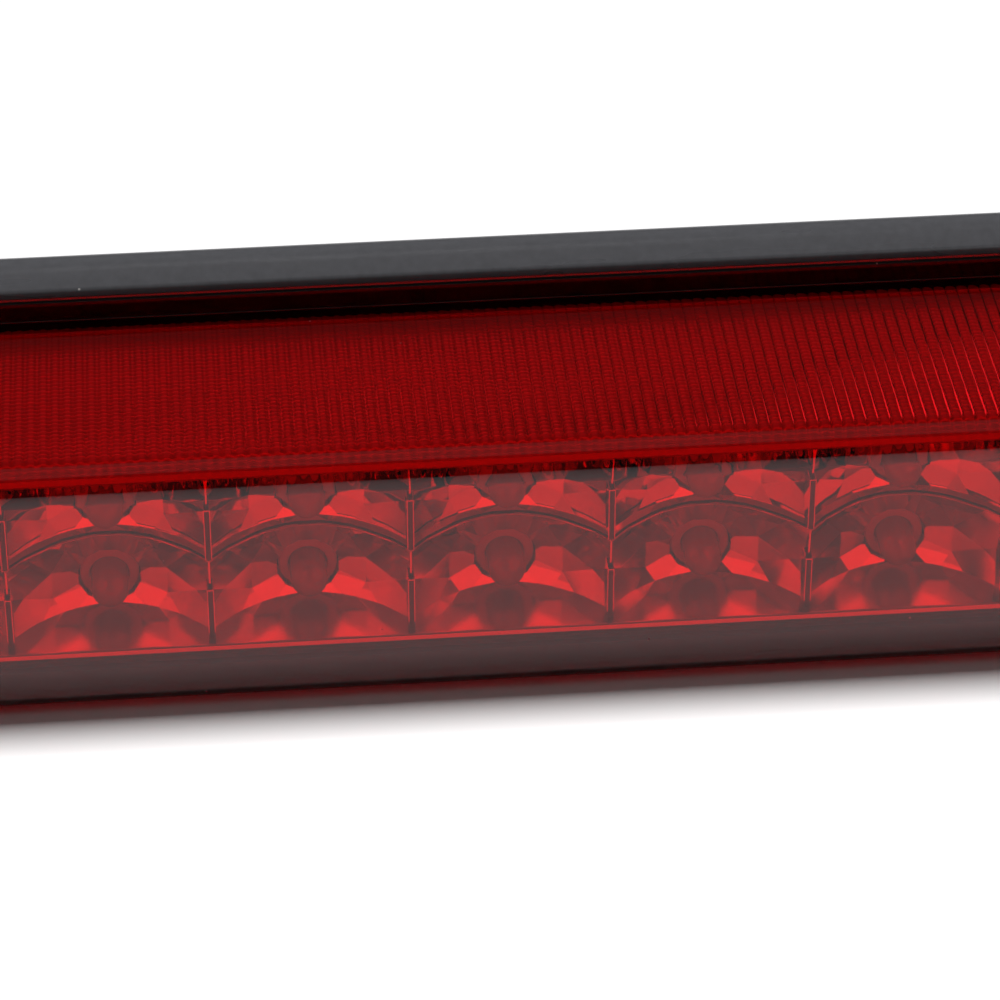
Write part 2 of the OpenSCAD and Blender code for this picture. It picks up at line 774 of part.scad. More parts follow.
translate([0, -body_d / 2, 0]) {
    housing();
    outer_lens();
    reflector();
    led_board();
    led_spacers();
    for (n = [0:led_count - 1])
        led(n);
    for (n = [0:strings - 1])
        resistor(n);
    protection_diode();
    capacitor();
    board_header();
    board_screws();
    reflector_screws();
    lens_seal();
    back_gasket();
    mount_sleeve(-1);  // mount_sleeve_left
    mount_sleeve(1);  // mount_sleeve_right
    connector_socket();
    socket_seal();
    socket_screws();
    socket_pin(-1);  // socket_pin_feed
    socket_pin(1);  // socket_pin_ground
    wire_feed();
    wire_ground();
    vent_cap();
    vent_membrane();
}
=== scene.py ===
"""Third brake light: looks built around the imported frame.

All lengths are in metres; a number times MM is written in millimetres. +X runs along the lamp, -Y is
the lens's front, +Z is up. Places come from the frame's boxes; the few sizes that a box can't give are
named here.
"""

import math

import bmesh
import bpy
import numpy as np
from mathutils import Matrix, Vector


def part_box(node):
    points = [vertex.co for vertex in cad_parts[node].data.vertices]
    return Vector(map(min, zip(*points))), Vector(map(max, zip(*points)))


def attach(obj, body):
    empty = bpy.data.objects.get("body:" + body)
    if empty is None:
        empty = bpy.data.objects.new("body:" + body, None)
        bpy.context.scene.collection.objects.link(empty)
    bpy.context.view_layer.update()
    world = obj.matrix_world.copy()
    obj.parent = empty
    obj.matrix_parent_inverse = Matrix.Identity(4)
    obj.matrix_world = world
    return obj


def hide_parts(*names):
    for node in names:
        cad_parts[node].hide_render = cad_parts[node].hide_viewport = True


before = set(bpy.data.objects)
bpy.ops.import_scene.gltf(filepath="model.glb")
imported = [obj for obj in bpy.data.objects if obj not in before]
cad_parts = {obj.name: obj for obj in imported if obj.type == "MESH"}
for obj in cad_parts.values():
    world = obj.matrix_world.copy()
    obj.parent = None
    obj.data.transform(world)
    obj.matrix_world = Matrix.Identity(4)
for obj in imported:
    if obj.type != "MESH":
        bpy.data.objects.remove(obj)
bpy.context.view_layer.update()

MM = 0.001
BODY = "root"


# ---------------------------------------------------------------- places from the frame

LENS_LO, LENS_HI = (np.array(p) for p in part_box("outer_lens"))
REFL_HI = np.array(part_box("reflector")[1])
SEAT_LO, SEAT_HI = (np.array(p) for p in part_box("led_spacers"))


def middle(node):
    """Middle of a node's box."""
    low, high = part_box(node)
    return (np.array(low) + np.array(high)) / 2


LED_NODES = sorted(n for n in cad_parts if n.startswith("led_") and n[4:].isdigit())
LED_PLACES = {n: middle(n) for n in LED_NODES}
ROW_HEIGHTS = sorted({round(float(p[2]), 5) for p in LED_PLACES.values()})
COLUMN_PLACES = sorted({round(float(p[0]), 5) for p in LED_PLACES.values()})
PITCH_X = COLUMN_PLACES[1] - COLUMN_PLACES[0]
PITCH_Z = ROW_HEIGHTS[1] - ROW_HEIGHTS[0]
FRONT_Y = float(LENS_LO[1])
LED_RISE = 4.4 * MM
SHELF_Z = ROW_HEIGHTS[0] - LED_RISE
ROOF_Z = SHELF_Z + PITCH_Z * len(ROW_HEIGHTS)
CELLS_X = PITCH_X * len(COLUMN_PLACES) / 2

LENS_WALL = 2.5 * MM
LENS_BEND = 4.3 * MM
INNER_BEND = 3.6 * MM
SKIRT_ROUND = 2.0 * MM
WELD_REACH = 0.5e-6
FLANGE_WALL = 1.5 * MM
FLANGE_RISE = 2.8 * MM
FLUTE_PITCH = 1.6 * MM
FLUTE_DEPTH = 0.22 * MM
FLUTE_STEPS = 5

BOWL_FOCUS = 6.4 * MM
BOWL_APEX = 15.7 * MM
BOWL_BACK = FRONT_Y + BOWL_APEX + 1.5 * MM
FACETS = 12
FACET_RINGS = (8.0 * MM, 11.6 * MM, 17.5 * MM)
WALL_FRONT = 5.4 * MM
SEAT_RADIUS = 4.2 * MM
SKIN = 1.2 * MM
CELL_FRONT = FRONT_Y + 3.8 * MM
ROOF_FRONT = FRONT_Y + 4.3 * MM
BAR_BACK = FRONT_Y + 10 * MM
BAR_SHARE = 0.62

LED_RADIUS = 2.5 * MM
LED_FLANGE = 2.9 * MM
LED_BODY = 5.7 * MM
FLANGE_THICK = 1.0 * MM
LEG_SPREAD = 1.27 * MM
LEG_HALF = 0.25 * MM
LED_TAIL = float(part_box("led_01")[1][1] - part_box("led_01")[0][1]) - LED_RADIUS


# ---------------------------------------------------------------- shader maths

class Value:
    """A number socket that takes part in Python expressions; each operator adds a Math node."""

    def __init__(self, shop, socket):
        self.shop = shop
        self.socket = socket

    def maths(self, operation, *others):
        node = self.shop.make("ShaderNodeMath", {"operation": operation}, [self, *others])
        return Value(self.shop, node.outputs[0])

    def __add__(self, other): return self.maths("ADD", other)
    def __radd__(self, other): return self.maths("ADD", other)
    def __mul__(self, other): return self.maths("MULTIPLY", other)
    def __rmul__(self, other): return self.maths("MULTIPLY", other)
    def __sub__(self, other): return self.maths("SUBTRACT", other)

    def __rsub__(self, other):
        node = self.shop.make("ShaderNodeMath", {"operation": "SUBTRACT"}, [other, self])
        return Value(self.shop, node.outputs[0])

    def above(self, limit, softness):
        """0 below limit, 1 above limit + softness, with a smooth step between."""
        node = self.shop.make("ShaderNodeMapRange", {"interpolation_type": "SMOOTHSTEP"},
                              {"Value": self, "From Min": limit, "From Max": limit + softness})
        return Value(self.shop, node.outputs[0])


class Finish:
    """One material and the nodes that it is made of."""

    def __init__(self, name):
        self.material = bpy.data.materials.new(name)
        self.material.use_nodes = True
        self.tree = self.material.node_tree
        self.shader = self.tree.nodes["Principled BSDF"]
        self.places = None

    def make(self, kind, settings=None, inputs=None):
        """Adds a node: its type, its settings, then the values or links of its sockets."""
        node = self.tree.nodes.new(kind)
        for key, value in (settings or {}).items():
            if key == "stops":
                for element, (place, colour) in zip(node.color_ramp.elements, value):
                    element.position = place
                    element.color = (*colour, 1)
            else:
                setattr(node, key, value)
        pairs = inputs.items() if isinstance(inputs, dict) else enumerate(inputs or [])
        for key, value in pairs:
            self.put(node.inputs[key], value)
        return node

    def put(self, socket, value):
        """Links a value to a socket, or sets the socket's own number or colour."""
        if isinstance(value, Value):
            value = value.socket
        if isinstance(value, bpy.types.NodeSocket):
            self.tree.links.new(value, socket)
        elif isinstance(value, tuple) and len(value) == 3 and socket.type == "RGBA":
            socket.default_value = (*value, 1)
        else:
            socket.default_value = value

    def object_places(self, stretch=(1, 1, 1)):
        """Object coordinates, stretched along each axis."""
        if self.places is None:
            self.places = self.make("ShaderNodeTexCoord").outputs["Object"]
        if stretch == (1, 1, 1):
            return self.places
        return self.make("ShaderNodeMapping", None, {"Vector": self.places, "Scale": stretch}).outputs[0]

    def noise(self, scale, detail=3.0, roughness=0.5, stretch=(1, 1, 1)):
        """Cloudy pattern from 0 to 1, with scale repeats in a metre."""
        node = self.make("ShaderNodeTexNoise", None,
                         {"Vector": self.object_places(stretch), "Scale": scale, "Detail": detail,
                          "Roughness": roughness})
        return Value(self, node.outputs[0])

    def specks(self, scale, size, share):
        """Small round specks: 1 on a speck, 0 elsewhere. share is the part of the cells with one."""
        cells = self.make("ShaderNodeTexVoronoi", {"feature": "F1"},
                          {"Vector": self.object_places(), "Scale": scale})
        near = 1 - Value(self, cells.outputs["Distance"]).above(size, size)
        chance = self.make("ShaderNodeSeparateColor", None, [cells.outputs["Color"]])
        return near * Value(self, chance.outputs[0]).above(1 - share, 0.01)

    def mix(self, factor, first, second):
        """Blend of two colours."""
        node = self.make("ShaderNodeMix", {"data_type": "RGBA"})
        self.put(node.inputs[0], factor)
        self.put(node.inputs[6], first)
        self.put(node.inputs[7], second)
        return node.outputs[2]

    def bump(self, height, distance, strength=1.0):
        """Raises the surface by height times distance."""
        node = self.make("ShaderNodeBump", None,
                         {"Height": height, "Distance": distance, "Strength": strength})
        self.put(self.shader.inputs["Normal"], node.outputs[0])

    def set(self, **values):
        """Sets shader sockets; an underscore in a name stands for a space."""
        for name, value in values.items():
            self.put(self.shader.inputs[name.replace("_", " ")], value)
        return self


def red_lens():
    """Clear red acrylic: colour between its two faces, faint moulding waves, a few dust specks."""
    f = Finish("red_acrylic")
    dust = f.specks(420, 0.05, 0.03)
    f.set(Base_Color=(0.80, 0.006, 0.010), Transmission_Weight=1.0, IOR=1.49,
          Roughness=0.012 + 0.5 * dust + 0.012 * f.noise(60))
    f.bump(f.noise(35, 1.0), 0.04 * MM, 0.5)
    return f.material


def black_plastic():
    """Glossy black moulded plastic with a fine mottle, faint wipe marks and dust."""
    f = Finish("black_gloss_plastic")
    mottle = f.noise(900, 4)
    wipes = f.noise(70, 4, stretch=(0.15, 1, 1))
    dust = f.specks(520, 0.06, 0.05)
    f.set(Base_Color=f.mix(dust, f.mix(mottle, (0.036, 0.036, 0.039), (0.056, 0.056, 0.061)),
                           (0.25, 0.24, 0.23)),
          Roughness=0.22 + 0.12 * wipes + 0.4 * dust, Coat_Roughness=0.1, IOR=1.52)
    f.bump(mottle + dust * 0.6, 0.012 * MM, 0.35)
    return f.material


def metallised(name, haze, spread):
    """Vacuum-metallised mirror coat: bright, with a slight orange peel; haze is its least roughness."""
    f = Finish(name)
    cloud = f.noise(140, 3)
    f.set(Base_Color=f.mix(cloud, (0.86, 0.86, 0.87), (0.93, 0.93, 0.94)), Metallic=1.0,
          Roughness=haze + spread * cloud)
    f.bump(f.noise(260, 2), 0.02 * MM, 0.6)
    return f.material


def moulded(name, colour, light, roughness, grain=700, depth=0.02):
    """Plain moulded plastic or rubber with a fine grain and a little uneven shine."""
    f = Finish(name)
    mottle = f.noise(grain, 5, 0.6)
    broad = f.noise(90, 2)
    f.set(Base_Color=f.mix(mottle, colour, light), Roughness=roughness + 0.15 * broad - 0.07)
    f.bump(mottle, depth * MM, 0.6)
    return f.material


def led_epoxy():
    """Tinted epoxy of an LED, slightly diffused, with a breath of unevenness at its surface."""
    f = Finish("led_epoxy")
    f.set(Base_Color=(1.0, 0.86, 0.84), Transmission_Weight=0.55, IOR=1.5,
          Roughness=0.10 + 0.06 * f.noise(900, 2))
    f.bump(f.noise(500, 2), 0.01 * MM, 0.4)
    return f.material


def metal(name, dark, light, roughness, streak=(1, 1, 1), scale=600):
    """Bare or plated metal with fine streaks."""
    f = Finish(name)
    marks = f.noise(scale, 4, 0.6, streak)
    f.set(Base_Color=f.mix(marks, dark, light), Metallic=1.0, Roughness=roughness + 0.2 * marks)
    f.bump(marks, 0.01 * MM, 0.5)
    return f.material


def circuit_board():
    """Green solder mask with paler copper tracks under it and tinned spots."""
    f = Finish("circuit_board")
    tracks = f.make("ShaderNodeTexBrick", {"offset": 0.5},
                    {"Vector": f.object_places((1, 0, 1)), "Scale": 60.0, "Mortar Size": 0.02})
    mask = Value(f, tracks.outputs["Fac"])
    f.set(Base_Color=f.mix(mask, (0.012, 0.10, 0.035), (0.03, 0.2, 0.08)),
          Roughness=0.35 + 0.1 * f.noise(500))
    f.bump(mask + 0.2 * f.noise(1500, 3), 0.03 * MM, 0.6)
    return f.material


def insulation(name, colour, light):
    """Extruded wire insulation, slightly streaked along its run."""
    return moulded(name, colour, light, 0.4, grain=1500, depth=0.01)


# ---------------------------------------------------------------- meshes from arrays

def grid_faces(rows, columns, wrap=False):
    """Quads between neighbouring points of a grid stored row by row; wrap joins last column to first."""
    r = np.arange(rows - 1)[:, None]
    c = np.arange(columns if wrap else columns - 1)[None, :]
    n = (c + 1) % columns
    return np.stack([r * columns + c, r * columns + n, (r + 1) * columns + n, (r + 1) * columns + c],
                    axis=-1).reshape(-1, 4)


def add_piece(name, points, faces, material, smooth_angle=30, replaces=()):
    """Makes a riding piece of points and faces; edges sharper than smooth_angle stay crisp."""
    mesh = bpy.data.meshes.new(name)
    mesh.from_pydata(np.asarray(points).tolist(), [], [list(map(int, f)) for f in faces])
    mesh.update()
    piece = bpy.data.objects.new(name, mesh)
    bpy.context.scene.collection.objects.link(piece)
    for m in material if isinstance(material, (list, tuple)) else [material]:
        mesh.materials.append(m)
    shade(mesh, smooth_angle)
    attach(piece, BODY)
    if replaces:
        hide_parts(*replaces)
    return piece


def shade(mesh, angle):
    """Smooth shading, with the edges sharper than angle marked as sharp."""
    mesh.shade_smooth()
    mesh.set_sharp_from_angle(angle=math.radians(angle))


def merged(parts):
    """Joins (points, faces) pairs into one pair."""
    points, faces, start = [], [], 0
    for p, f in parts:
        p = np.asarray(p, float)
        points.append(p)
        faces.extend([[int(i) + start for i in face] for face in f])
        start += len(p)
    return np.concatenate(points), faces


def rounded(corners, steps=8):
    """Outline through (y, z, radius) corners, each replaced by an arc that touches both its sides."""
    out = []
    count = len(corners)
    for i, (y, z, radius) in enumerate(corners):
        here = np.array([y, z])
        if radius <= 0:
            out.append(here)
            continue
        back = np.array(corners[i - 1][:2]) - here
        ahead = np.array(corners[(i + 1) % count][:2]) - here
        back /= np.linalg.norm(back)
        ahead /= np.linalg.norm(ahead)
        half = math.acos(float(np.clip(back @ ahead, -1, 1))) / 2
        centre = here + (back + ahead) / np.linalg.norm(back + ahead) * radius / math.sin(half)
        start = here + back * radius / math.tan(half) - centre
        end = here + ahead * radius / math.tan(half) - centre
        a0 = math.atan2(start[1], start[0])
        turn = (math.atan2(end[1], end[0]) - a0 + math.pi) % (2 * math.pi) - math.pi
        angles = a0 + turn * np.linspace(0, 1, steps + 1)
        out.extend(centre + radius * np.stack([np.cos(angles), np.sin(angles)], 1))
    return np.array(out)


def bar(outline, x0, x1):
    """Solid of a Y-Z outline carried straight along X, closed by its two end faces."""
    n = len(outline)
    points = np.concatenate([np.column_stack([np.full(n, x), outline]) for x in (x0, x1)])
    area = np.sum(outline[:, 0] * np.roll(outline[:, 1], -1) - np.roll(outline[:, 0], -1) * outline[:, 1])
    sides = grid_faces(2, n, wrap=True)
    ring = list(range(n))
    if area > 0:
        return points, [*sides[:, ::-1], ring[::-1], [i + n for i in ring]]
    return points, [*sides, ring, [i + n for i in ring[::-1]]]


def lathe(profile, segments):
    """Solid of revolution round the Y axis: (radius, y) points turned in segments; radius 0 is a pole."""
    profile = np.asarray(profile, float)
    angles = np.linspace(0, 2 * math.pi, segments, endpoint=False)
    ring = np.stack([np.cos(angles), np.zeros(segments), np.sin(angles)], 1)
    points, rows = [], []
    for radius, y in profile:
        if radius == 0:
            rows.append([len(points)] * segments)
            points.append([0.0, y, 0.0])
        else:
            rows.append(list(range(len(points), len(points) + segments)))
            points.extend((ring * radius + [0, y, 0]).tolist())
    faces = []
    for a, b in zip(rows[:-1], rows[1:]):
        for i in range(segments):
            j = (i + 1) % segments
            face = [a[i], a[j], b[j], b[i]]
            faces.append(list(dict.fromkeys(face)))
    return np.array(points), faces


def boxed_outline(y0, y1, z0, z1, edge):
    """Rectangle in Y and Z with rounded corners."""
    return rounded([(y0, z0, edge), (y1, z0, edge), (y1, z1, edge), (y0, z1, edge)], 4)


def boxed(x0, x1, y0, y1, z0, z1, edge):
    """Bar along X with rounded long edges."""
    return bar(boxed_outline(y0, y1, z0, z1, edge), x0, x1)


# ---------------------------------------------------------------- outer lens

def lens_profiles():
    """Outer and inner Y-Z profiles of the lens, both from the skirt's inner edge to the rear edge."""
    y0, y1 = FRONT_Y, float(LENS_HI[1])
    low, high = float(LENS_LO[2]), float(LENS_HI[2])
    top = high - FLANGE_RISE
    inner_top = top - LENS_WALL
    outer = rounded([(y0 + LENS_WALL, low, 0), (y0, low, SKIRT_ROUND), (y0, top, LENS_BEND),
                     (y1 - FLANGE_WALL, top, 0.15 * MM), (y1 - FLANGE_WALL, high, 0.15 * MM),
                     (y1, high, 0.15 * MM), (y1, inner_top, 0)], 10)
    inner = rounded([(y0 + LENS_WALL, low, 0), (y0 + LENS_WALL, inner_top, INNER_BEND),
                     (y1, inner_top, 0)], 8)
    return outer, inner


def fluted(inner, xs):
    """Inner face over (x, profile): half-round flutes, |sin| of x, stand on it from the bend to the rear.

    A profile point moves along the profile's own normal, and the flutes fade in and out over a ramp.
    """
    y_end = float(LENS_HI[1]) - FLANGE_WALL
    ramp = 0.5 * MM
    roof = inner[-1, 1]
    rear = np.array([(y, roof) for y in (y_end - ramp, y_end)])
    inner = np.concatenate([inner[:-1], rear, inner[-1:]])
    along = np.gradient(inner, axis=0)
    normal = np.column_stack([along[:, 1], -along[:, 0]]) / np.linalg.norm(along, axis=1)[:, None]
    bend_foot = roof - INNER_BEND / 2
    under = np.clip((inner[:, 1] - bend_foot) / ramp, 0, 1) * (inner[:, 0] < y_end - ramp / 2)
    under[-1] = 0
    drop = FLUTE_DEPTH * np.abs(np.sin(math.pi * xs / FLUTE_PITCH)) * (np.abs(xs) < CELLS_X)
    grid = np.empty((len(xs), len(inner), 3))
    grid[..., 0] = xs[:, None]
    grid[..., 1:] = inner[None] + normal[None] * (drop[:, None] * under[None, :])[..., None]
    return grid


def outer_lens(material):
    """One closed shell: outer skin, fluted inner skin, two end walls and the rim between the skins."""
    outer, inner = lens_profiles()
    half = float(LENS_HI[0])
    inner_half = half - LENS_WALL
    flutes = int(2 * CELLS_X / FLUTE_PITCH)
    xs = np.linspace(-flutes * FLUTE_PITCH / 2, flutes * FLUTE_PITCH / 2, flutes * FLUTE_STEPS + 1)
    xs = np.concatenate([[-inner_half], xs, [inner_half]])
    inside = fluted(inner, xs)
    n_in = inside.shape[1]
    n_out = len(outer)
    outside = np.empty((len(xs) + 2, n_out, 3))
    outside[..., 0] = np.concatenate([[-half], xs, [half]])[:, None]
    outside[..., 1:] = outer[None]
    points = [outside.reshape(-1, 3), inside.reshape(-1, 3)]
    start = outside.shape[0] * n_out
    faces = [grid_faces(outside.shape[0], n_out)[:, ::-1], grid_faces(len(xs), n_in) + start]
    faces = [list(f) for block in faces for f in block]
    # rims: the outer and the inner skin share the skirt's inner edge and the rear lower edge
    y_back, low = float(LENS_HI[1]), float(LENS_LO[2])
    feet = []
    for side, x_out, x_in in ((0, -half, -inner_half), (1, half, inner_half)):
        feet.append((start + inside.shape[0] * n_in + 2 * side, side, x_out, x_in))
        points.append(np.array([[x_out, y_back, low], [x_in, y_back, low]]))
    last_out = outside.shape[0] - 1
    last_in = len(xs) - 1
    for foot, side, _, _ in feet:
        ro = (last_out if side else 0) * n_out
        ri = start + (last_in if side else 0) * n_in
        outer_end = [ro + i for i in range(n_out)] + [foot]
        inner_end = [ri + i for i in range(n_in)] + [foot + 1]
        bottom = [ro, foot, foot + 1, ri]
        back = [ro + n_out - 1, ri + n_in - 1, foot + 1, foot]
        faces += [f[::-1] if side else f for f in (outer_end, inner_end[::-1], bottom[::-1], back[::-1])]
    points = np.concatenate(points)
    piece = add_piece("lens_shell", points, faces, material, 35, ["outer_lens"])
    weld(piece, WELD_REACH)
    shade(piece.data, 35)
    even = piece.modifiers.new("flat_faces_lead", "WEIGHTED_NORMAL")
    even.weight = 100
    even.keep_sharp = True
    return piece


def weld(piece, distance=None):
    """Merges points nearer than distance, if one is given, and turns every closed shell outwards."""
    work = bmesh.new()
    work.from_mesh(piece.data)
    if distance:
        bmesh.ops.remove_doubles(work, verts=work.verts, dist=distance)
    bmesh.ops.recalc_face_normals(work, faces=work.faces)
    work.to_mesh(piece.data)
    work.free()


# ---------------------------------------------------------------- reflector

def bowl_depth(r):
    """Y of the paraboloid at distance r from a bowl's axis."""
    return FRONT_Y + BOWL_APEX - r ** 2 / (4 * BOWL_FOCUS)


def cut_bowl():
    """Facets of one bowl, cut to its cell.

    Rings of FACETS points on the paraboloid are joined by flat facets; the third ring is turned by half
    a step against the others. Four planes then cut the facets to the cell. Returns points and faces
    about the bowl's axis.
    """
    turns = np.arange(FACETS)
    step = 2 * math.pi / FACETS
    radii = [SEAT_RADIUS * 1.03, *FACET_RINGS]
    shifts = [0.5, 0.5, 0.0, 0.5]
    work = bmesh.new()
    rings = []
    for radius, shift in zip(radii, shifts):
        a = (turns + shift) * step
        y = float(bowl_depth(radius))
        rings.append([work.verts.new((radius * math.cos(t), y, radius * math.sin(t))) for t in a])
    for k in turns:
        n = (k + 1) % FACETS
        work.faces.new([rings[0][k], rings[0][n], rings[1][n], rings[1][k]])
        work.faces.new([rings[1][k], rings[1][n], rings[2][n]])
        work.faces.new([rings[1][k], rings[2][n], rings[2][k]])
        work.faces.new([rings[2][k], rings[2][n], rings[3][k]])
        work.faces.new([rings[2][n], rings[3][n], rings[3][k]])
    for normal, reach in (((1, 0, 0), PITCH_X / 2), ((-1, 0, 0), PITCH_X / 2),
                          ((0, 0, 1), PITCH_Z - LED_RISE), ((0, 0, -1), LED_RISE)):
        bmesh.ops.bisect_plane(work, geom=[*work.verts, *work.edges, *work.faces], dist=1e-7,
                               plane_co=[reach * c for c in normal], plane_no=normal, clear_outer=True)
    work.verts.index_update()
    points = np.array([v.co[:] for v in work.verts])
    faces = [[v.index for v in f.verts] for f in work.faces]
    work.free()
    # every facet looks out of the bowl, towards the lens
    out = []
    for f in faces:
        p = points[f]
        normal = np.cross(p[1] - p[0], p[2] - p[0])
        out.append(f if normal[1] < 0 else f[::-1])
    return points, out


def bowl_rim(points):
    """Depth along the cell's upper side as a function of x, from the cut bowl's own points."""
    top = points[np.abs(points[:, 2] - (PITCH_Z - LED_RISE)) < 1e-6]
    order = np.argsort(top[:, 0])
    return top[order, 0], top[order, 1]


def bowl_row(points, faces, z):
    """One row's bowls in a closed block: their facets, the seats' holes, the sides and a flat back.

    The block's top is the ledge that the row above stands on.
    """
    cells = [(points + [x, 0, z], faces) for x in COLUMN_PLACES]
    all_points, all_faces = merged(cells)
    keys = np.round(all_points / 2e-6).astype(np.int64)
    _, first, index = np.unique(keys, axis=0, return_index=True, return_inverse=True)
    index = index.reshape(-1)
    front = all_points[first]
    face_ids = [[int(index[i]) for i in f] for f in all_faces]
    count = len(front)
    back = front.copy()
    back[:, 1] = BOWL_BACK
    sides = {}
    for f in face_ids:
        for a, b in zip(f, f[1:] + f[:1]):
            if (b, a) in sides:
                del sides[(b, a)]
            else:
                sides[(a, b)] = True
    walls = [[b, a, a + count, b + count] for a, b in sides]
    return np.concatenate([front, back]), face_ids + [[i + count for i in f[::-1]] for f in face_ids] + walls


def row_lip(z, rim_x, rim_y):
    """Bead along the front edge of the ledge between two rows; it follows the ledge's arches."""
    xs, ys = [], []
    for x in COLUMN_PLACES:
        xs.append(rim_x[:-1] + x)
        ys.append(rim_y[:-1])
    xs = np.concatenate([*xs, [rim_x[-1] + COLUMN_PLACES[-1]]])
    ys = np.concatenate([*ys, [rim_y[-1]]])
    fine = np.linspace(xs[0], xs[-1], 16 * len(xs))
    edge = np.maximum(np.interp(fine, xs, ys) - 0.15 * MM, FRONT_Y + WALL_FRONT)
    half, depth = 0.13 * MM, 0.8 * MM
    around = np.radians(np.linspace(90, 270, 7))
    shape = np.column_stack([np.cos(around) * half, np.sin(around) * half])
    shape = np.concatenate([shape, [[depth, -half], [depth, half]]])
    grid = np.empty((len(fine), len(shape), 3))
    grid[..., 0] = fine[:, None]
    grid[..., 1] = edge[:, None] + shape[None, :, 0]
    grid[..., 2] = z - half + shape[None, :, 1]
    n = len(shape)
    ends = [list(range(n)), [(len(fine) - 1) * n + i for i in range(n)][::-1]]
    return grid.reshape(-1, 3), [*grid_faces(len(fine), n, wrap=True), *ends]


def cell_wall_bars():
    """Bars on the walls between columns: (dark faces, coated edges and ridges).

    A bar fills the lower five eighths of its row; a thin ridge goes on above it.
    """
    half, front, back = 0.46 * MM, FRONT_Y + WALL_FRONT, BAR_BACK
    edge, proud = 0.12 * MM, 0.06 * MM
    tall = PITCH_Z * BAR_SHARE
    faces, edges = [], []
    for z in ROW_HEIGHTS:
        low = z - LED_RISE
        face = rounded([(front, low, 0.1 * MM), (back, low, 0), (back, low + tall, 0),
                        (front, low + tall, 0.1 * MM)], 3)
        cap = boxed_outline(front - proud, back, low + tall - 2 * edge, low + tall, 0.05 * MM)
        slim = [(front + 0.6 * MM, low + tall, 0), (back, low + tall, 0),
                (back, low + PITCH_Z, 0), (front, low + PITCH_Z, 0)]
        strip = rounded([(front - proud, low, 0.05 * MM), (back, low, 0), (back, low + tall, 0),
                         (front - proud, low + tall, 0.05 * MM)], 3)
        for k in range(len(COLUMN_PLACES) + 1):
            x = k * PITCH_X - CELLS_X
            faces.append(bar(face, x - half + edge, x + half - edge))
            edges.append(bar(strip, x - half, x - half + edge))
            edges.append(bar(strip, x + half - edge, x + half))
            edges.append(bar(cap, x - half + edge, x + half - edge))
            edges.append(bar(rounded(slim, 2), x - edge, x + edge))
    return faces, edges


def roof_plate():
    """Roof under the lens's top, with fine ribs along X on its upper side."""
    pitch, rise = 0.9 * MM, 0.22 * MM
    y0, y1 = ROOF_FRONT, float(REFL_HI[1])
    top = ROOF_Z + SKIN
    corner = 0.3 * MM
    start = y0 + 0.4 * MM
    count = int((y1 - start - 1 * MM) / pitch)
    u = np.linspace(0, count, count * 6 + 1)
    ribs = np.column_stack([start + u * pitch, top + rise * np.abs(np.sin(math.pi * u))])
    outline = np.concatenate([[[y1, ROOF_Z], [y0 + corner, ROOF_Z], [y0, ROOF_Z + corner],
                               [y0, top - corner], [y0 + corner, top]], ribs, [[y1, top]]])
    return bar(outline, -float(REFL_HI[0]), float(REFL_HI[0]))


def reflector(coats):
    """Mirror-coated moulding of bowls, row lip, wall bars, shelf, roof and end walls.

    coats are the materials of the bowls, of the shelf, of the roof and of the dark bar faces.
    """
    points, faces = cut_bowl()
    rim_x, rim_y = bowl_rim(points)
    half = float(REFL_HI[0])
    lap = 0.1 * MM
    bar_faces, bar_edges = cell_wall_bars()
    bowls = [bowl_row(points, faces, z) for z in ROW_HEIGHTS]
    bowls += [row_lip(z + PITCH_Z - LED_RISE, rim_x, rim_y) for z in ROW_HEIGHTS[:-1]]
    for side in (-1, 1):
        x0, x1 = sorted((side * half, side * CELLS_X))
        bowls.append(boxed(x0, x1, CELL_FRONT, BOWL_BACK, SHELF_Z - lap, ROOF_Z + lap, 0.3 * MM))
    shelf = boxed(-half, half, CELL_FRONT, BOWL_BACK, SHELF_Z - SKIN, SHELF_Z, 0.35 * MM)
    groups = [bowls + bar_edges, [shelf], [roof_plate()], bar_faces]
    counts = [sum(len(part[1]) for part in group) for group in groups]
    points, faces = merged([part for group in groups for part in group])
    piece = add_piece("reflector_tray", points, faces, coats, 8, ["reflector"])
    marks = np.repeat(np.arange(len(groups)), counts).astype(np.int32)
    piece.data.polygons.foreach_set("material_index", marks)


# ---------------------------------------------------------------- LEDs and their seats

def led_shape():
    """Epoxy body of an LED about its dome's middle: half-round dome, straight body, flange, base."""
    dome = np.radians(np.linspace(0, 90, 13))
    base = LED_BODY
    profile = [(0, -LED_RADIUS)]
    profile += [(LED_RADIUS * math.sin(a), -LED_RADIUS * math.cos(a)) for a in dome[1:]]
    ease = 0.15 * MM
    profile += [(LED_RADIUS, base - FLANGE_THICK), (LED_FLANGE - ease, base - FLANGE_THICK),
                (LED_FLANGE, base - FLANGE_THICK + ease), (LED_FLANGE, base), (0, base)]
    return lathe(profile, 32)


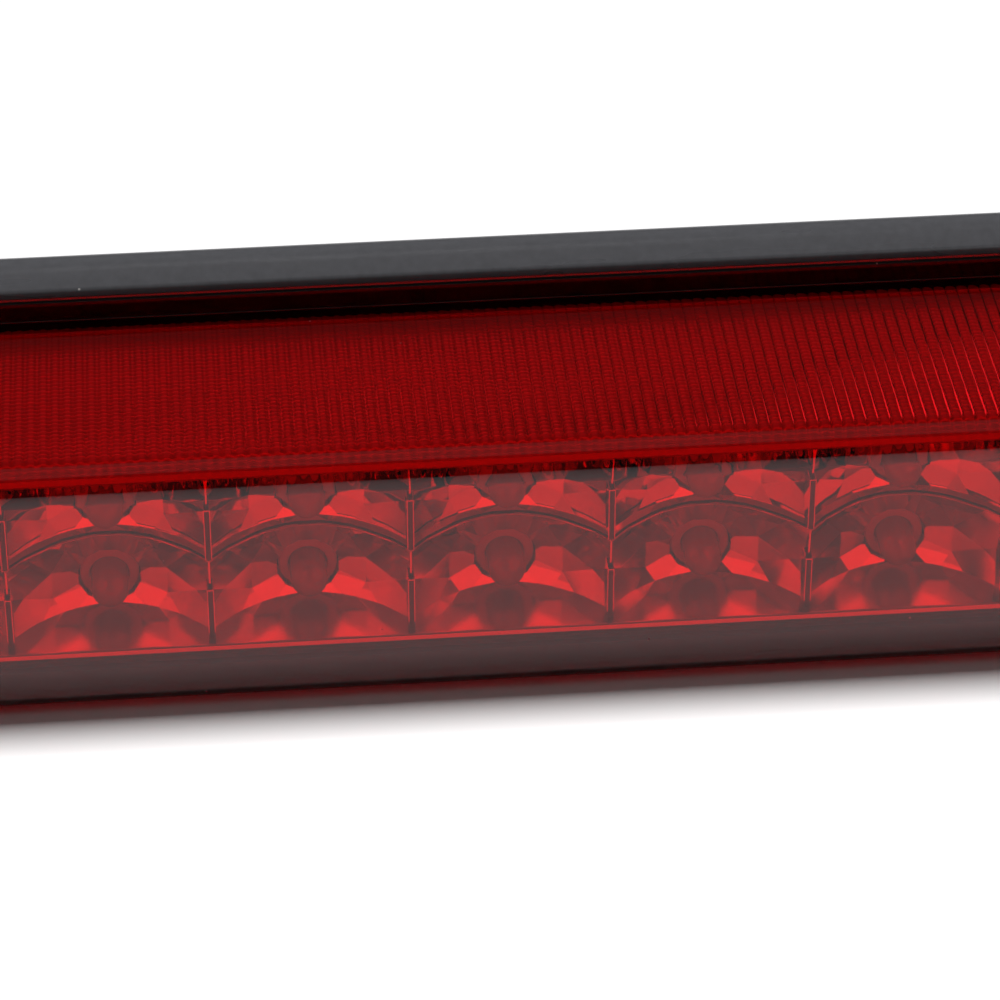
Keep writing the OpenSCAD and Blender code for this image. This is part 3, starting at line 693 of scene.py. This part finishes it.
def led_inside():
    """Lead frame inside the epoxy: a small bright cup with its chip, two posts and two legs."""
    cup = lathe([(0, 1.3 * MM), (0.45 * MM, 1.3 * MM), (0.95 * MM, 0.75 * MM), (1.05 * MM, 0.75 * MM),
                 (1.05 * MM, 1.8 * MM), (0, 1.8 * MM)], 20)
    chip = boxed(-0.16 * MM, 0.16 * MM, 1.05 * MM, 1.32 * MM, -0.16 * MM, 0.16 * MM, 0.02 * MM)
    parts = [cup, chip]
    leg = lathe([(0, LED_BODY), (LEG_HALF, LED_BODY), (LEG_HALF, LED_TAIL - 0.1 * MM), (0, LED_TAIL)], 12)
    for x in (-LEG_SPREAD, LEG_SPREAD):
        parts.append(boxed(x - 0.3 * MM, x + 0.3 * MM, 1.2 * MM, LED_BODY, -LEG_HALF, LEG_HALF, 0.05 * MM))
        parts.append((leg[0] + [x, 0, 0], leg[1]))
    parts.append(boxed(-1.2 * MM, 0.1 * MM, 1.7 * MM, 2.3 * MM, -LEG_HALF, LEG_HALF, 0.05 * MM))
    return merged(parts)


def leds(epoxy, bright):
    """One piece for each LED, at its place in the frame."""
    shell = led_shape()
    points, faces = merged([shell, led_inside()])
    marks = np.zeros(len(faces), np.int32)
    marks[len(shell[1]):] = 1
    for node in LED_NODES:
        place = LED_PLACES[node].copy()
        place[1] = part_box(node)[0][1] + LED_RADIUS
        piece = add_piece("led_body" + node[3:], points + place, faces, [epoxy, bright], 40, [node])
        piece.data.polygons.foreach_set("material_index", marks)
        weld(piece)


def seats(material):
    """Round seats under the LEDs, all in one piece: a ring with a sunk middle and a lip over the flange."""
    front, back = float(SEAT_LO[1]), float(SEAT_HI[1])
    outer = float(SEAT_HI[0] - SEAT_LO[0]) / 2 - PITCH_X * (len(COLUMN_PLACES) - 1) / 2
    inner = LED_RADIUS + 0.15 * MM
    sunk = front + 2.1 * MM
    well = LED_FLANGE + 0.1 * MM
    lip = front + 1.0 * MM
    ring = lathe([(0, sunk), (well, sunk), (well, lip), (inner, lip), (inner, front + 0.15 * MM),
                  (inner + 0.15 * MM, front),
                  (outer - 0.2 * MM, front), (outer, front + 0.2 * MM), (outer, back), (0, back)], 40)
    parts = [(ring[0] + [x, 0, z], ring[1]) for z in ROW_HEIGHTS for x in COLUMN_PLACES]
    points, faces = merged(parts)
    piece = add_piece("led_seats", points, faces, material, 30, ["led_spacers"])
    weld(piece)


# ---------------------------------------------------------------- pieces kept from the frame

def eased(node, material, edge, angle=25):
    """A copy of a frame node with welded points, flat faces joined and its edges rounded by edge."""
    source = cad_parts[node]
    mesh = source.data.copy()
    mesh.name = node + "_eased"
    mesh.materials.clear()
    mesh.materials.append(material)
    work = bmesh.new()
    work.from_mesh(mesh)
    bmesh.ops.remove_doubles(work, verts=work.verts, dist=2e-6)
    bmesh.ops.dissolve_limit(work, angle_limit=math.radians(0.8), verts=work.verts, edges=work.edges)
    work.to_mesh(mesh)
    work.free()
    mesh.polygons.foreach_set("material_index", np.zeros(len(mesh.polygons), np.int32))
    shade(mesh, angle)
    piece = bpy.data.objects.new(node + "_eased", mesh)
    bpy.context.scene.collection.objects.link(piece)
    if edge:
        rounding = piece.modifiers.new("rounding", "BEVEL")
        rounding.width = edge
        rounding.segments = 2
        rounding.limit_method = "ANGLE"
        rounding.angle_limit = math.radians(angle + 5)
        rounding.use_clamp_overlap = True
        rounding.harden_normals = True
    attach(piece, BODY)
    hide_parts(node)
    return piece


def kept_pieces():
    """Gives every other frame node its finish and soft edges."""
    black = black_plastic()
    zinc = metal("zinc_plate", (0.50, 0.50, 0.49), (0.68, 0.69, 0.70), 0.25, (1, 0.2, 1))
    chip = moulded("chip_package", (0.012, 0.012, 0.012), (0.03, 0.03, 0.03), 0.5)
    white = moulded("white_nylon", (0.62, 0.60, 0.53), (0.75, 0.73, 0.66), 0.45)
    brass = metal("tinned_brass", (0.62, 0.47, 0.20), (0.80, 0.66, 0.36), 0.2, (1, 0.3, 1))
    plan = [
        ("housing", black, 0.35, "black_plastic"),
        ("vent_cap", black, 0.15, "black_plastic"),
        ("lens_seal", moulded("butyl_bead", (0.008, 0.008, 0.008), (0.02, 0.02, 0.02), 0.55, 400),
         0.15, "butyl"),
        ("back_gasket", moulded("foam_rubber", (0.012, 0.012, 0.012), (0.035, 0.035, 0.035), 0.85, 1800,
                                0.08), 0.2, "rubber"),
        ("led_board", circuit_board(), 0.1, "board"),
        ("board_header", white, 0.2, "white_plastic"),
        ("capacitor", moulded("capacitor_sleeve", (0.01, 0.01, 0.02), (0.03, 0.03, 0.05), 0.3), 0.3, "chip"),
        ("protection_diode", chip, 0.1, "chip"),
        ("connector_socket", moulded("socket_plastic", (0.02, 0.02, 0.022), (0.045, 0.045, 0.05), 0.45, 900),
         0.2, "socket_plastic"),
        ("socket_seal", moulded("silicone", (0.32, 0.07, 0.03), (0.45, 0.12, 0.06), 0.6), 0.2, "silicone"),
        ("vent_membrane", moulded("membrane", (0.7, 0.7, 0.7), (0.85, 0.85, 0.85), 0.8, 2500),
         0.05, "membrane"),
        ("wire_feed", insulation("feed_insulation", (0.40, 0.015, 0.015), (0.55, 0.04, 0.03)), 0, "red_wire"),
        ("wire_ground", insulation("ground_insulation", (0.01, 0.01, 0.01), (0.03, 0.03, 0.03)),
         0, "black_wire"),
    ]
    plan += [(n, zinc, 0.15, "steel") for n in ("board_screws", "reflector_screws", "socket_screws",
                                                "mount_sleeve_left", "mount_sleeve_right")]
    plan += [(n, brass, 0.08, "brass") for n in ("socket_pin_feed", "socket_pin_ground")]
    plan += [(n, chip, 0.06, "chip") for n in sorted(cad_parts) if n.startswith("resistor_")]
    for node, material, edge, slot in plan:
        eased(node, material, edge * MM)


# ---------------------------------------------------------------- floor, light and camera

def studio_floor():
    """White glossy sheet that the lamp stands on."""
    f = Finish("white_sheet")
    f.set(Base_Color=(0.90, 0.90, 0.90), Roughness=0.28 + 0.04 * f.noise(8), IOR=1.5)
    size = 4.0
    mesh = bpy.data.meshes.new("studio_floor")
    mesh.from_pydata([(-size, -size, 0), (size, -size, 0), (size, size, 0), (-size, size, 0)], [],
                     [(0, 1, 2, 3)])
    mesh.materials.append(f.material)
    floor = bpy.data.objects.new("studio_floor", mesh)
    bpy.context.scene.collection.objects.link(floor)
    spared = bpy.data.collections.new("floor_spared")
    spared.objects.link(floor)
    spared.collection_objects[0].light_linking.link_state = "EXCLUDE"
    return spared


def soft_light(name, place, aim, width, height, glow, mirrored=True, inside=True, spared=None):
    """A panel at place, turned towards aim; glow is its radiance.

    An unmirrored one has no reflection on outer faces, and one that isn't inside has none behind the
    lens either. None lights the things in its spared collection.
    """
    data = bpy.data.lights.new(name, "AREA")
    data.shape = "RECTANGLE"
    data.size = width
    data.size_y = height
    data.energy = glow * math.pi * width * height
    lamp = bpy.data.objects.new(name, data)
    lamp.location = place
    lamp.rotation_euler = (Vector(aim) - Vector(place)).to_track_quat("-Z", "Y").to_euler()
    lamp.visible_glossy = mirrored
    lamp.visible_transmission = inside
    lamp.light_linking.receiver_collection = spared
    bpy.context.scene.collection.objects.link(lamp)


def studio_light(spared):
    """Dark room: white panels in front, at both sides and behind, a dim ceiling and a high main light."""
    world = bpy.data.worlds.new("studio")
    world.use_nodes = True
    world.node_tree.nodes["Background"].inputs[0].default_value = (1, 1, 1, 1)
    world.node_tree.nodes["Background"].inputs[1].default_value = 0.03
    bpy.context.scene.world = world
    for side in (-1, 1):
        soft_light("front_panel", (side * 0.95, -1.15, 0.5), (0, 0, 0.05), 1.1, 0.95, 1.5, spared=spared)
        soft_light("side_panel", (side * 1.4, 0.1, 0.6), (0, 0, 0.05), 1.4, 1.1, 1.4, spared=spared)
    soft_light("ceiling", (0, -0.15, 1.3), (0, 0, 0), 2.4, 1.0, 0.16)
    soft_light("main_light", (0, 0.25, 1.8), (0, 0, 0), 0.5, 0.4, 65, mirrored=False, inside=False)
    soft_light("back_panel", (0, 1.1, 0.85), (0, 0, 0.03), 2.2, 1.0, 1.5, mirrored=False, spared=spared)


def camera():
    """Long lens, seen from above and a little from the left, aimed at the middle of the lamp."""
    turn, rise, reach = math.radians(5.2), math.radians(34.3), 0.557
    aim = Vector((-0.0135, FRONT_Y + 0.020, 0.0173))
    away = Vector((-math.sin(turn) * math.cos(rise), -math.cos(turn) * math.cos(rise), math.sin(rise)))
    data = bpy.data.cameras.new("view")
    data.sensor_width = 36
    data.lens = 36 * 4.077
    data.clip_start = 0.01
    view = bpy.data.objects.new("view", data)
    view.location = aim + away * reach
    view.rotation_euler = (-away).to_track_quat("-Z", "Y").to_euler()
    bpy.context.scene.collection.objects.link(view)
    bpy.context.scene.camera = view


outer_lens(red_lens())
# the wall bars' faces get a plain dark colour in place of the mirror coat
reflector([metallised("mirror_coat", 0.03, 0.04), metallised("shelf_coat", 0.14, 0.10),
           metallised("roof_coat", 0.50, 0.12),
           moulded("dark_bar_face", (0.05, 0.05, 0.05), (0.09, 0.09, 0.09), 0.35)])
leds(led_epoxy(), metal("lead_frame", (0.72, 0.72, 0.72), (0.85, 0.85, 0.86), 0.18))
seats(moulded("seat_plastic", (0.84, 0.84, 0.85), (0.94, 0.94, 0.95), 0.35))
kept_pieces()
studio_light(studio_floor())
camera()
bpy.context.scene.view_settings.view_transform = "Standard"
